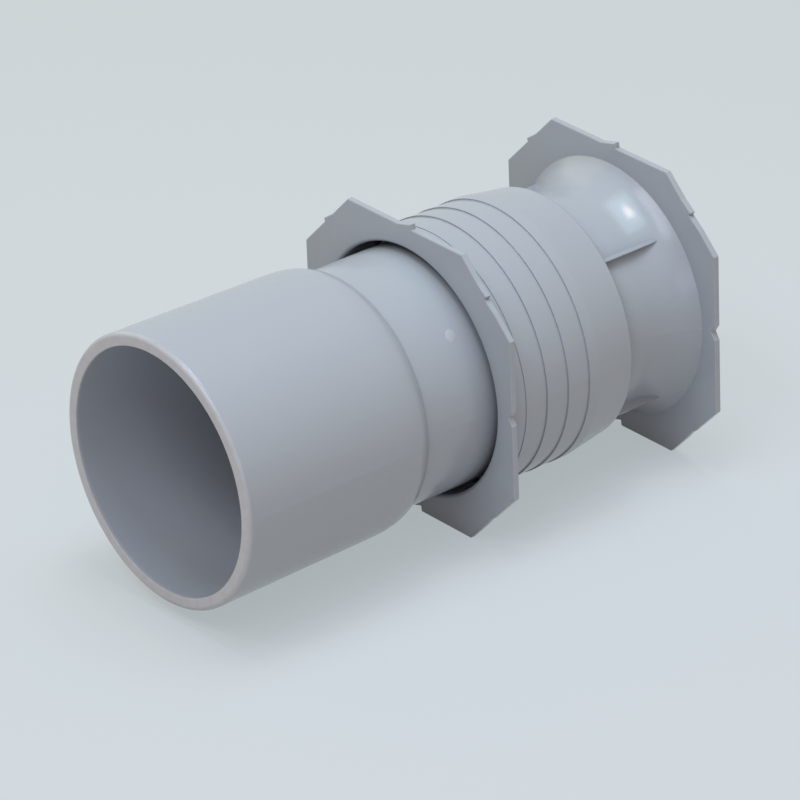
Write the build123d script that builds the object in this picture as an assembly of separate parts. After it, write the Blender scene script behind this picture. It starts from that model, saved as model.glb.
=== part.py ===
from build123d import *
from math import copysign, radians, sin, sqrt
import os

# Cable duct wall sleeve with a bell mouth, for a pipe of 114 mm outside diameter.
# Millimetres. The axis lies along Y, Z is up. The origin is on the axis at the outer face
# of the rear flange, where the bell opens toward +Y. The pipe socket opens toward -Y.

# Flanges, the same octagon twice.
flange_margin = 7.45        # flat sides of the flange beyond the sleeve's rings
flange_corner = 31.7        # leg of each cut corner
flange_thick = 3.0
flange_spacing = 120.9      # front flange's rear face to the rear flange's outer face
edge_break = 0.4            # small chamfer on the long edges of the plates

# Interlocking marks at the middle of the flange sides.
steep = 0.4                 # length of the steep end of a tooth
top_run = 10.0              # sloping tooth of the top side
top_rise = 2.5
top_place = 5.0             # its steep end, from the middle of the side
corner_run = 8.0            # sloping tooth of the upper left side
corner_rise = 1.5
corner_place = 2.0
saw_run = 8.0               # step of the upper right side, half a tooth and half a notch
saw_rise = 0.9
vee_width = 7.5             # V notch of the right side
vee_depth = 2.4
vee_place = 1.0             # its point, above the middle of the side
nick_run = 7.5              # shallow step of the lower right side
nick_depth = 0.6
mark_play = 0.2             # room between a tooth and the notch that takes it

# Sleeve.
seal_gap = 3.0              # open ring between the spigot and the sleeve's bore
lip_round = 1.7             # rounding where the bore meets the front flange
sleeve_wall = 2.95          # wall at the root of the rings
ring_first = 14.8           # front face of the front flange to the first ring step
ring_pitch = 12.5
ring_count = 4
ring_step = 0.6             # height of each ring step
ring_first_step = 0.3       # the step nearest the front flange is lower
ring_land = 5.7             # straight length after the last ring step
tail_length = 22.4          # tapered rear end of the sleeve
tail_drop = 3.25            # how far the radius falls over that length
tail_wall = 2.8
end_wall = 3.0              # flat wall that closes the rear end of the sleeve
end_round = 0.9             # rounding of that end, outside and at its foot

# Waist and bell.
waist_wall = 3.0
flare_length = 23.1         # outer flare in front of the rear flange
flare_rise = 9.4            # how far the flare widens before it meets the flange
bell_length = 26.0          # depth of the curved mouth
bell_rise = 14.0            # how far the mouth widens

# Fins on the waist.
fin_count = 4
fin_thick = 1.8
fin_height = 4.0
fin_end = 9.0               # a fin ends inside the flare, this far from the outer face

# Pipe socket.
pipe_r = 57.0               # spigot and neck
pipe_wall = 7.0             # leaves the way through as wide as the throat
spigot_end = 76.0           # end of the spigot, from the outer face of the rear flange
neck_length = 83.5          # spigot and neck together
socket_reach = 267.3        # mouth of the socket, from the outer face of the rear flange
socket_depth = 85.0         # how far a pipe goes in
socket_play = 0.5           # radial room around the pipe in the socket
socket_wall = 7.0           # wall at the mouth
socket_draft = 1.6          # the outside narrows by this much toward the shoulder
mouth_round = 2.0
lead_in = 0.9               # the bore widens by this much toward the mouth
lead_length = 40.0          # length of that taper
mouth_break = 0.3           # small chamfer at the inner edge of the mouth
stop_ledge = 4.0            # width of the step the pipe stops against
reducer_length = 18.5       # rounded shoulder from the socket to the neck
shoulder_turn = 68          # degrees that its rounding turns before the hollow foot
foot_length = 3.2           # hollow foot between the rounding and the neck
spigot_chamfer = 1.4

# Seal.
seal_width = 9.4
seal_side_play = 0.3        # room on each side between the two beads
seal_run = 0.05             # radial running clearance, inside and outside
seal_crest = 1.1            # height of the sealing ribs of the ring
bead_width = 2.5
bead_gap = 0.8              # radial room between a bead and the bore
bead_setback = 12.0         # end of the spigot to the first bead

# Sizes that follow from those above.
bore_r = pipe_r + seal_gap
pipe_in = pipe_r - pipe_wall
throat_r = pipe_in
front_back = -flange_spacing
front_face = front_back - flange_thick
rear_front = -flange_thick
root_r = bore_r + sleeve_wall
crest_r = root_r + ring_step
half_across = crest_r + flange_margin
first_step = front_face + ring_first
last_step = first_step + (ring_count - 1) * ring_pitch
land_end = last_step + ring_land
sleeve_end = land_end + tail_length
tail_r = crest_r - tail_drop
inner_end = sleeve_end - end_wall
inner_tail_r = tail_r - tail_wall
bore_end = inner_end - (bore_r - inner_tail_r) * tail_length / tail_drop
waist_r = throat_r + waist_wall
flare_start = rear_front - flare_length
flare_r = waist_r + flare_rise
mouth_r = throat_r + bell_rise
socket_bore = pipe_r + socket_play
mouth_in = socket_bore + lead_in
socket_r = socket_bore + socket_wall
neck_start = -spigot_end - neck_length
neck_front = neck_start - reducer_length
bead_r = bore_r - bead_gap
rear_bead = -spigot_end - bead_setback - bead_width
front_bead = rear_bead - seal_width - 2 * seal_side_play - bead_width


def spin(outline):
    """Turn a closed half profile, radius along X, about the Y axis."""
    return revolve(make_face(outline), Axis.Y)


def tooth(place, run, rise):
    """Sloping tooth that drops steeply at place; a negative run turns it round."""
    drop = copysign(steep, run)
    return sorted([(place - run, 0), (place - drop, rise), (place, 0)])


def mate(marks):
    """The marks that the opposite side has, so that a neighbour's flange locks in."""
    return [(-along, -rise - mark_play if rise else 0) for along, rise in reversed(marks)]


def flange_side(turn, marks):
    """Points of one side of the octagon, clockwise, after a turn from the top side."""
    half = half_across - flange_corner
    reach = half_across
    if turn % 90:
        reach = (half_across + half) * sqrt(0.5)
        half = flange_corner * sqrt(0.5)
    points = [Vector(along, reach + rise) for along, rise in [(-half, 0)] + marks]
    return [point.rotate(Axis.Z, -turn) for point in points]


def flange(back_y):
    """Octagonal plate with its interlocking sides, its rear face at back_y."""
    top = tooth(top_place, top_run, top_rise)
    saw = [(-saw_run, 0), (-steep, saw_rise), (0, -saw_rise), (saw_run, 0)]
    vee = [(-vee_place - vee_width / 2, 0), (-vee_place, -vee_depth), (vee_width / 2 - vee_place, 0)]
    sides = {
        -45: tooth(-corner_place, -corner_run, corner_rise),
        0: top,
        45: saw,
        90: vee,
        135: tooth(0, -nick_run, -nick_depth),
        180: mate(top),
        225: mate(saw),
        270: mate(vee),
    }
    points = []
    for turn, marks in sides.items():
        points += flange_side(turn, marks)
    outline = Polyline(*[(point.X, point.Y) for point in points], close=True)
    plate = Pos(0, back_y, 0) * extrude(Plane.XZ * make_face(outline), flange_thick)
    long_edges = plate.edges().filter_by(Axis.Y, reverse=True)
    return chamfer(long_edges, edge_break)


def ringed_outside():
    """Outside of sleeve, waist and flare, turned as one solid."""
    points = [(0, front_face), (crest_r, front_face), (crest_r, front_back)]
    for index in range(ring_count):
        step_y = first_step + index * ring_pitch
        height = ring_step if index else ring_first_step
        points += [(crest_r - height, step_y), (crest_r, step_y)]
    points += [(crest_r, land_end)]
    tail = [(crest_r, land_end), (tail_r, sleeve_end), (waist_r, sleeve_end), (waist_r, flare_start)]
    flare = TangentArc((waist_r, flare_start), (flare_r, rear_front), tangent=(0, 1))
    end = Polyline((flare_r, rear_front), (0, rear_front), (0, front_face))
    return spin([Polyline(*points), FilletPolyline(*tail, radius=end_round), flare, end])


def hollow():
    """Inside of the sleeve: rounded lip, bore, closed rear end, throat and bell."""
    front = front_face - flange_thick
    opening = Polyline((0, front), (bore_r + lip_round, front), (bore_r + lip_round, front_face))
    lip_middle = (bore_r + lip_round, front_face + lip_round)
    lip = CenterArc(lip_middle, lip_round, 270, -90)
    corners = [(bore_r, front_face + lip_round), (bore_r, bore_end), (inner_tail_r, inner_end)]
    corners += [(throat_r, inner_end), (throat_r, -bell_length)]
    bell = EllipticalCenterArc((mouth_r, -bell_length), bell_rise, bell_length, 90, arc_size=90)
    rear = Polyline((mouth_r, 0), (mouth_r, flange_thick), (0, flange_thick), (0, front))
    return spin([opening, lip, FilletPolyline(*corners, radius=end_round), bell, rear])


def fins():
    """Thin fins along the waist, from the end of the sleeve into the flare."""
    start = (inner_end + sleeve_end) / 2
    length = -fin_end - start
    fin = Pos(waist_r, start + length / 2, 0) * Box(2 * fin_height, length, fin_thick)
    return [Rot(0, 45 + index * 360 / fin_count, 0) * fin for index in range(fin_count)]


def bell_body():
    """One moulding: two flanges, ringed sleeve, waist with fins, bell."""
    body = ringed_outside() + flange(front_back) + flange(0)
    body += fins()
    return body - hollow()


def pipe_socket():
    """One moulding: pipe socket, rounded reducer, neck and spigot with two seal beads."""
    mouth = -socket_reach
    narrow = socket_r - socket_draft
    outside = [(socket_r - mouth_round, mouth), (socket_r, mouth + mouth_round), (narrow, neck_front)]
    lines = [TangentArc(outside[0], outside[1], tangent=(1, 0))]
    lines += [Line(outside[1], outside[2])]
    long_radius = (reducer_length - foot_length) / sin(radians(shoulder_turn))
    shoulder_middle = (pipe_r, neck_front)
    shoulder = EllipticalCenterArc(shoulder_middle, narrow - pipe_r, long_radius, 0, arc_size=shoulder_turn)
    foot = Spline(shoulder @ 1, (pipe_r, neck_start), tangents=[shoulder % 1, (0, 1)])
    lines += [shoulder, foot, Line((pipe_r, neck_start), (pipe_r, front_bead))]
    beads = [(bead_r, front_bead), (bead_r, front_bead + bead_width)]
    beads += [(pipe_r, front_bead + bead_width), (pipe_r, rear_bead)]
    beads += [(bead_r, rear_bead), (bead_r, rear_bead + bead_width)]
    lines += [Polyline((pipe_r, front_bead), *beads, (pipe_r, rear_bead + bead_width))]
    end = -spigot_end
    bottom = mouth + socket_depth
    inside = [(pipe_r, rear_bead + bead_width), (pipe_r, end - spigot_chamfer)]
    inside += [(pipe_r - spigot_chamfer, end), (pipe_in, end), (pipe_in, neck_start)]
    inside += [(socket_bore - stop_ledge, bottom), (socket_bore, bottom)]
    inside += [(socket_bore, mouth + lead_length), (mouth_in, mouth + mouth_break)]
    inside += [(mouth_in + mouth_break, mouth)]
    lines += [Polyline(*inside, outside[0])]
    return spin(lines)


def seal_ring():
    """Rubber ring between the beads, with two rounded sealing ribs."""
    front = front_bead + bead_width + seal_side_play
    rear = front + seal_width
    inner = pipe_r + seal_run
    outer = bore_r - seal_run
    back = outer - seal_crest
    half = seal_width / 4
    lines = [Polyline((back, front), (inner, front), (inner, rear), (back, rear))]
    lines += [ThreePointArc((back, rear), (outer, rear - half), (back, rear - 2 * half))]
    lines += [ThreePointArc((back, rear - 2 * half), (outer, front + half), (back, front))]
    return spin(lines)


os.makedirs("parts", exist_ok=True)
nodes = {"bell_body": bell_body(), "pipe_socket": pipe_socket(), "seal_ring": seal_ring()}
for name, shape in nodes.items():
    export_step(shape, f"parts/{name}.step")
    box = shape.bounding_box()
    print(name, shape.is_valid, round(shape.volume), len(shape.solids()), box)
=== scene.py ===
import bmesh
import bpy
from math import cos, pi, radians, sin
from mathutils import Matrix, Vector


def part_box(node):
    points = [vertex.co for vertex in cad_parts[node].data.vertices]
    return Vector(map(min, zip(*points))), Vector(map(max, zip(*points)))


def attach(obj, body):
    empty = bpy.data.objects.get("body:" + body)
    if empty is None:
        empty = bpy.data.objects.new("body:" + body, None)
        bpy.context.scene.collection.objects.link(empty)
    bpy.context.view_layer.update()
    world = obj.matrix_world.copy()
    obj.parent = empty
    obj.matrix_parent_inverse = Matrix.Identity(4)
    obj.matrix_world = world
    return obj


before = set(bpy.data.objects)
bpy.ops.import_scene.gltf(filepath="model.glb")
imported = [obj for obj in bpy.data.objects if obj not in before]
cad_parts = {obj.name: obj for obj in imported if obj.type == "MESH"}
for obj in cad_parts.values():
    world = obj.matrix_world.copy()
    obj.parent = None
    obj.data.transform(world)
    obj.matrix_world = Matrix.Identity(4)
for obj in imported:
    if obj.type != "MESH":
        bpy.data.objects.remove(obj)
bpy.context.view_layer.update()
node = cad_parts

# Colours of the object's finishes, linear, together with the painted shade and painted light laid
# over them.
GREY_PVC = (0.455, 0.510, 0.575)
GREY_PVC_SHADE = (0.425, 0.478, 0.543)
# Painted light: the paler colour of the socket's end face.
MOUTH_PAINTED_LIGHT_PVC = (0.610, 0.645, 0.705)
# Painted highlight: the gate stub's paler colour.
STUB_HIGHLIGHT_PVC = (0.560, 0.600, 0.660)
DUST_GREY = (0.66, 0.67, 0.67)
# Painted shade: the dark grey that creases and corners are darkened towards.
CREASE_SHADE_GREY = (0.150, 0.165, 0.180)
SEAL_BLACK = (0.022, 0.022, 0.024)

# Two moulded finishes: shares of clouding and dust, the roughness from gloss to matt, and the
# height of the ripple and the radius of the edges in metres.
SATIN = {"clouding": 0.25, "dust": 0.03, "gloss": (0.17, 0.22), "ripple": 0.0002, "edge": 0.0004}
MATT = {"clouding": 0.3, "dust": 0.2, "gloss": (0.55, 0.7), "ripple": 0.0001, "edge": 0.0002}
MOULDED_IOR = 1.5

# Grain of the moulded skin, as noise scales: the larger, the finer. Flow lines run along the pipe.
CLOUD_GRAIN = 16
FLOW_GRAIN = 60
FLOW_STRETCH = (1, 0.12, 1)
SPECK_GRAIN = 520
DUST_PATCH_GRAIN = 18
RIPPLE_GRAIN = 75
FINE_GRAIN = 1400
# Grain of the streaks in the painted light on the socket's mouth.
MOUTH_STREAK_GRAIN = 220

# How much of the mottled tone is clouds and how much is flow lines.
CLOUD_SHARE = 0.55
FLOW_SHARE = 0.45

# How much rougher dust makes the skin, and how much of its height is ripple and fine grain.
DUST_ROUGHNESS = 0.3
RIPPLE_SHARE = 0.8
FINE_SHARE = 0.05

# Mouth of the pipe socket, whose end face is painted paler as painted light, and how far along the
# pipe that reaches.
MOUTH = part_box("pipe_socket")[0][1]
MOUTH_FADE = 0.002

# Painted shade in creases: how far a corner darkens the skin's colour around it, how much, and the
# rays that find it.
CREASE_SHADE_REACH = 0.012
CREASE_SHADE_SHARE = 0.5
CREASE_SHADE_RAYS = 8

# Gate mark on the neck: its place along the pipe and round it, and its half profile in millimetres
# as radius and height over the neck.
NECK_RADIUS = 0.057
GATE_PLACE = -0.135
GATE_TURN = radians(40)
GATE_PROFILE = [(0.80, 0.20), (1.60, 0.15), (2.40, 0.04), (3.20, -0.12), (3.60, -0.40)]
GATE_CORNERS = 32
MILLIMETRE = 0.001

# Stage: the floor touches the flanges' flat sides and fades into the backdrop with distance.
FLOOR_TINT = (0.680, 0.745, 0.790)
FLOOR_BOUNCE = (0.50, 0.49, 0.47)
FLOOR_ROUGHNESS = 0.9
FLOOR_HEIGHT = -0.071
FLOOR_REACH = 6.0
BACKDROP = (0.624, 0.687, 0.723)
BACKDROP_SHARE = 0.6
FADE_START = 0.6
FADE_END = 1.8

# The warm light that the room gives from all around, and the point that the lamps face.
ROOM_TINT = (1.0, 0.795, 0.628)
ROOM_STRENGTH = 0.45
OBJECT_MIDDLE = Vector((0, -0.13, 0))

# The photograph's viewpoint. The azimuth is counted from a look along +Y.
VIEW_AZIMUTH = radians(51.15)
VIEW_ELEVATION = radians(27.56)
VIEW_ROLL = radians(-2.19)
VIEW_TARGET = Vector((0.02043, -0.14628, 0))
VIEW_DISTANCE = 2.937
SENSOR_WIDTH = 36
LENS = 297.15
SIGHT_END = 50


def feed(tree, slot, value):
    """Set a node's input to a number, or link another node's output to it."""
    if isinstance(value, (int, float)):
        slot.default_value = value
    else:
        tree.links.new(value, slot)


def combine(tree, kind, first, second):
    """One math node on two values."""
    made = tree.nodes.new("ShaderNodeMath")
    made.operation = kind
    feed(tree, made.inputs[0], first)
    feed(tree, made.inputs[1], second)
    return made.outputs[0]


def span(tree, value, given_range, wanted_range):
    """Map a value from one range to another and clamp it."""
    made = tree.nodes.new("ShaderNodeMapRange")
    names = ("Value", "From Min", "From Max", "To Min", "To Max")
    for name, given in zip(names, (value, *given_range, *wanted_range)):
        feed(tree, made.inputs[name], given)
    return made.outputs["Result"]


def blend(tree, share, first, second):
    """Mix two colours; each is a colour value or another node's output."""
    made = tree.nodes.new("ShaderNodeMix")
    made.data_type = "RGBA"
    for name, colour in (("A", first), ("B", second)):
        if isinstance(colour, tuple):
            made.inputs[name].default_value = (*colour, 1)
        else:
            tree.links.new(colour, made.inputs[name])
    tree.links.new(share, made.inputs["Factor"])
    return made.outputs["Result"]


def mix_shaders(tree, share, first, second):
    """Mix two shaders, from the first at share 0 to the second at share 1."""
    made = tree.nodes.new("ShaderNodeMixShader")
    tree.links.new(share, made.inputs["Fac"])
    tree.links.new(first, made.inputs[1])
    tree.links.new(second, made.inputs[2])
    return made.outputs[0]


def turned(first, second, third):
    """The turn that takes the X, Y and Z axes to these three directions."""
    return Matrix((first, second, third)).transposed().to_4x4()


def moulded_skin():
    """Skin of a moulded piece: clouding, flow lines, fine dust and a soft ripple."""
    group = bpy.data.node_groups.new("moulded_skin", "ShaderNodeTree")
    for name in ("Clouding", "Dust", "Gloss Low", "Gloss High"):
        group.interface.new_socket(name=name, socket_type="NodeSocketFloat", in_out="INPUT")
    for name in ("Tone", "Dust Mask", "Roughness", "Height"):
        group.interface.new_socket(name=name, socket_type="NodeSocketFloat", in_out="OUTPUT")
    given = group.nodes.new("NodeGroupInput").outputs
    out = group.nodes.new("NodeGroupOutput").inputs
    place = group.nodes.new("ShaderNodeTexCoord")

    def noise(scale, detail, stretch=(1, 1, 1)):
        """A noise pattern on the piece's own coordinates."""
        mapping = group.nodes.new("ShaderNodeMapping")
        mapping.inputs["Scale"].default_value = stretch
        group.links.new(place.outputs["Object"], mapping.inputs["Vector"])
        made = group.nodes.new("ShaderNodeTexNoise")
        made.inputs["Scale"].default_value = scale
        made.inputs["Detail"].default_value = detail
        group.links.new(mapping.outputs["Vector"], made.inputs["Vector"])
        return made.outputs["Fac"]

    clouds = combine(group, "MULTIPLY", noise(CLOUD_GRAIN, 1), CLOUD_SHARE)
    flow = combine(group, "MULTIPLY", noise(FLOW_GRAIN, 2, FLOW_STRETCH), FLOW_SHARE)
    mottle = combine(group, "ADD", clouds, flow)
    centred = combine(group, "SUBTRACT", mottle, 0.5)
    tone = combine(group, "MULTIPLY", centred, given["Clouding"])
    feed(group, out["Tone"], combine(group, "ADD", tone, 0.5))

    specks = span(group, noise(SPECK_GRAIN, 3), (0.60, 0.78), (0.0, 1.0))
    patches = span(group, noise(DUST_PATCH_GRAIN, 2), (0.35, 0.75), (0.15, 1.0))
    settled = combine(group, "MULTIPLY", specks, patches)
    dust = combine(group, "MULTIPLY", settled, given["Dust"])
    feed(group, out["Dust Mask"], dust)

    gloss = span(group, mottle, (0.3, 0.7), (given["Gloss Low"], given["Gloss High"]))
    dulled = combine(group, "MULTIPLY", dust, DUST_ROUGHNESS)
    feed(group, out["Roughness"], combine(group, "ADD", gloss, dulled))

    ripple = combine(group, "MULTIPLY", noise(RIPPLE_GRAIN, 1), RIPPLE_SHARE)
    grain = combine(group, "MULTIPLY", noise(FINE_GRAIN, 2), FINE_SHARE)
    feed(group, out["Height"], combine(group, "ADD", ripple, grain))
    return group


def painted_light_mouth(tree):
    """Mask of the painted light on the socket's end face: full on the face, none past the rounded
    edge, with streaks through it.
    """
    place = tree.nodes.new("ShaderNodeTexCoord")
    axes = tree.nodes.new("ShaderNodeSeparateXYZ")
    tree.links.new(place.outputs["Object"], axes.inputs[0])
    face = span(tree, axes.outputs["Y"], (MOUTH, MOUTH + MOUTH_FADE), (1.0, 0.0))
    streaks = tree.nodes.new("ShaderNodeTexNoise")
    streaks.inputs["Scale"].default_value = MOUTH_STREAK_GRAIN
    tree.links.new(place.outputs["Object"], streaks.inputs["Vector"])
    streak_share = span(tree, streaks.outputs["Fac"], (0.3, 0.6), (0.75, 1.0))
    return combine(tree, "MULTIPLY", face, streak_share)


def moulded_material(name, skin, light, shade, clouding, dust, gloss, ripple, edge, mouth=False):
    """A moulded finish: the shared skin, painted shade in creases and, on the socket, a mouth face
    painted paler as painted light.
    """
    material = bpy.data.materials.new(name)
    material.use_nodes = True
    tree = material.node_tree
    nodes, links = tree.nodes, tree.links
    shader = nodes["Principled BSDF"]
    shader.inputs["IOR"].default_value = MOULDED_IOR

    effect = nodes.new("ShaderNodeGroup")
    effect.node_tree = skin
    effect.inputs["Clouding"].default_value = clouding
    effect.inputs["Dust"].default_value = dust
    effect.inputs["Gloss Low"].default_value = gloss[0]
    effect.inputs["Gloss High"].default_value = gloss[1]
    links.new(effect.outputs["Roughness"], shader.inputs["Roughness"])

    colour = blend(tree, effect.outputs["Tone"], shade, light)
    colour = blend(tree, effect.outputs["Dust Mask"], colour, DUST_GREY)
    if mouth:
        # Painted light: the socket's end face is coloured paler.
        colour = blend(tree, painted_light_mouth(tree), colour, MOUTH_PAINTED_LIGHT_PVC)
    # Painted shade: occlusion darkens the colour in creases and corners towards a dark grey.
    crease_shade = nodes.new("ShaderNodeAmbientOcclusion")
    crease_shade.samples = CREASE_SHADE_RAYS
    crease_shade.inputs["Distance"].default_value = CREASE_SHADE_REACH
    crease_shade_amount = combine(tree, "SUBTRACT", 1.0, crease_shade.outputs["AO"])
    colour = blend(tree, combine(tree, "MULTIPLY", crease_shade_amount, CREASE_SHADE_SHARE), colour, CREASE_SHADE_GREY)
    links.new(colour, shader.inputs["Base Color"])

    rounded = nodes.new("ShaderNodeBevel")
    rounded.inputs["Radius"].default_value = edge
    bump = nodes.new("ShaderNodeBump")
    bump.inputs["Distance"].default_value = ripple
    bump.inputs["Strength"].default_value = 1.0
    links.new(effect.outputs["Height"], bump.inputs["Height"])
    links.new(rounded.outputs["Normal"], bump.inputs["Normal"])
    links.new(bump.outputs["Normal"], shader.inputs["Normal"])
    return material


def dress(piece, material):
    """Give a piece its finish."""
    piece.data.materials.clear()
    piece.data.materials.append(material)


def gate_mark(material):
    """Low round stub that the mould's gate left on the neck, worn to a soft dome."""
    shell = bmesh.new()
    rings = []
    for radius, height in GATE_PROFILE:
        angles = [2 * pi * index / GATE_CORNERS for index in range(GATE_CORNERS)]
        points = [(radius * cos(angle), radius * sin(angle), height) for angle in angles]
        rings.append([shell.verts.new(point) for point in points])
    for inner, outer in zip(rings, rings[1:]):
        for index in range(GATE_CORNERS):
            after = (index + 1) % GATE_CORNERS
            shell.faces.new((inner[index], outer[index], outer[after], inner[after]))
    caps = [shell.faces.new(rings[0]), shell.faces.new(rings[-1])]
    bmesh.ops.triangulate(shell, faces=caps)
    bmesh.ops.recalc_face_normals(shell, faces=shell.faces)

    outward = Vector((cos(GATE_TURN), 0, sin(GATE_TURN)))
    along = Vector((0, 1, 0))
    place = Matrix.Translation(outward * NECK_RADIUS + along * GATE_PLACE)
    turn = turned(along, outward.cross(along), outward)
    shell.transform(place @ turn @ Matrix.Scale(MILLIMETRE, 4))
    mesh = bpy.data.meshes.new("gate_mark")
    shell.to_mesh(mesh)
    shell.free()
    mesh.shade_smooth()
    mark = bpy.data.objects.new("gate_mark", mesh)
    bpy.context.scene.collection.objects.link(mark)
    dress(mark, material)
    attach(mark, "socket")


def seen_or_mirrored(tree):
    """1 for rays from the camera and for mirrored or refracted ones, 0 for all other light."""
    ray = tree.nodes.new("ShaderNodeLightPath").outputs
    mirrored = combine(tree, "MAXIMUM", ray["Is Glossy Ray"], ray["Is Transmission Ray"])
    return combine(tree, "MAXIMUM", ray["Is Camera Ray"], mirrored)


def lay_floor():
    """Plain pale floor: even where it is seen, a little darker in the light it throws back."""
    sides = (-FLOOR_REACH, FLOOR_REACH)
    corners = [(x, y, FLOOR_HEIGHT) for y in sides for x in sides]
    mesh = bpy.data.meshes.new("floor")
    mesh.from_pydata(corners, [], [(0, 1, 3, 2)])
    floor = bpy.data.objects.new("floor", mesh)
    bpy.context.scene.collection.objects.link(floor)

    material = bpy.data.materials.new("pale_floor")
    material.use_nodes = True
    tree = material.node_tree
    nodes, links = tree.nodes, tree.links
    shader = nodes["Principled BSDF"]
    shader.inputs["Roughness"].default_value = FLOOR_ROUGHNESS
    shader.inputs["Specular IOR Level"].default_value = 0.0
    seen = seen_or_mirrored(tree)
    links.new(blend(tree, seen, FLOOR_BOUNCE, FLOOR_TINT), shader.inputs["Base Color"])
    glow = nodes.new("ShaderNodeEmission")
    glow.inputs["Color"].default_value = (*BACKDROP, 1)
    place = nodes.new("ShaderNodeTexCoord")
    away = nodes.new("ShaderNodeVectorMath")
    away.operation = "LENGTH"
    links.new(place.outputs["Object"], away.inputs[0])
    share = span(tree, away.outputs["Value"], (FADE_START, FADE_END), (BACKDROP_SHARE, 1.0))
    glow_share = combine(tree, "MULTIPLY", share, seen)
    surface = mix_shaders(tree, glow_share, shader.outputs[0], glow.outputs[0])
    links.new(surface, nodes["Material Output"].inputs["Surface"])
    mesh.materials.append(material)


def soft_box(name, way, distance, size, power, tint, along=(0, 1, 0)):
    """A lamp that faces the object's middle from one way, with its first side along a direction."""
    lamp = bpy.data.lights.new(name, "AREA")
    lamp.shape = "RECTANGLE"
    lamp.size, lamp.size_y = size
    lamp.energy = power
    lamp.color = tint
    box = bpy.data.objects.new(name, lamp)
    bpy.context.scene.collection.objects.link(box)
    back = Vector(way).normalized()
    up = back.cross(Vector(along)).normalized()
    place = Matrix.Translation(OBJECT_MIDDLE + back * distance)
    box.matrix_world = place @ turned(up.cross(back), up, back)


def light_studio():
    """A large cool lamp overhead with a small warm one in it, a long strip in front of them, and
    two weak lamps at the sides."""
    soft_box("overhead", way=(0.05, 0.05, 1.0), distance=1.6, size=(1.0, 1.0),
             power=11.8, tint=(0.57, 0.82, 1.0))
    soft_box("spark", way=(0.05, -0.01, 1.0), distance=1.6, size=(0.28, 0.28),
             power=3.6, tint=(1.0, 0.78, 0.60))
    soft_box("strip", way=(0.17, -0.536, 0.827), distance=1.8, size=(1.4, 0.42),
             power=8.4, tint=(0.75, 0.81, 0.93), along=(0.93, 0, -0.36))
    soft_box("low_right", way=(0.9, -0.55, 0.18), distance=1.6, size=(0.7, 0.5),
             power=1.5, tint=(0.60, 0.66, 1.0))
    soft_box("left", way=(-1.0, 0.0, 0.5), distance=1.8, size=(1.2, 1.2),
             power=2.5, tint=(1.0, 0.89, 0.37))


def surround():
    """The room around: the plain backdrop where it is seen, and a warm light on the object."""
    world = bpy.data.worlds.new("room")
    bpy.context.scene.world = world
    world.use_nodes = True
    tree = world.node_tree
    nodes = tree.nodes
    room = nodes["Background"]
    room.inputs["Color"].default_value = (*ROOM_TINT, 1)
    room.inputs["Strength"].default_value = ROOM_STRENGTH
    backdrop = nodes.new("ShaderNodeBackground")
    backdrop.inputs["Color"].default_value = (*BACKDROP, 1)
    surface = mix_shaders(tree, seen_or_mirrored(tree), room.outputs[0], backdrop.outputs[0])
    tree.links.new(surface, nodes["World Output"].inputs["Surface"])


def place_camera():
    """The photograph's own viewpoint, with its slight roll."""
    level = cos(VIEW_ELEVATION)
    toward = Vector((sin(VIEW_AZIMUTH) * level, -cos(VIEW_AZIMUTH) * level, sin(VIEW_ELEVATION)))
    across = (-toward).cross(Vector((0, 0, 1))).normalized()
    upward = across.cross(-toward)
    right = across * cos(VIEW_ROLL) + upward * sin(VIEW_ROLL)
    top = upward * cos(VIEW_ROLL) - across * sin(VIEW_ROLL)
    data = bpy.data.cameras.new("camera")
    data.sensor_width = SENSOR_WIDTH
    data.lens = LENS
    data.clip_end = SIGHT_END
    camera = bpy.data.objects.new("camera", data)
    bpy.context.scene.collection.objects.link(camera)
    place = Matrix.Translation(VIEW_TARGET + toward * VIEW_DISTANCE)
    camera.matrix_world = place @ turned(right, top, toward)
    bpy.context.scene.camera = camera


skin = moulded_skin()
body_grey = moulded_material("satin_grey_pvc", skin, GREY_PVC, GREY_PVC_SHADE, **SATIN)
socket_grey = moulded_material("socket_grey_pvc", skin, GREY_PVC, GREY_PVC_SHADE, **SATIN, mouth=True)
# The gate stub is coloured paler as a painted highlight.
stub_grey = moulded_material("gate_stub_pvc", skin, STUB_HIGHLIGHT_PVC, GREY_PVC, **SATIN)
rubber = moulded_material("seal_rubber", skin, SEAL_BLACK, SEAL_BLACK, **MATT)
dress(node["bell_body"], body_grey)
dress(node["pipe_socket"], socket_grey)
dress(node["seal_ring"], rubber)
gate_mark(stub_grey)

lay_floor()
light_studio()
surround()
place_camera()

view = bpy.context.scene.view_settings
view.view_transform = "Standard"
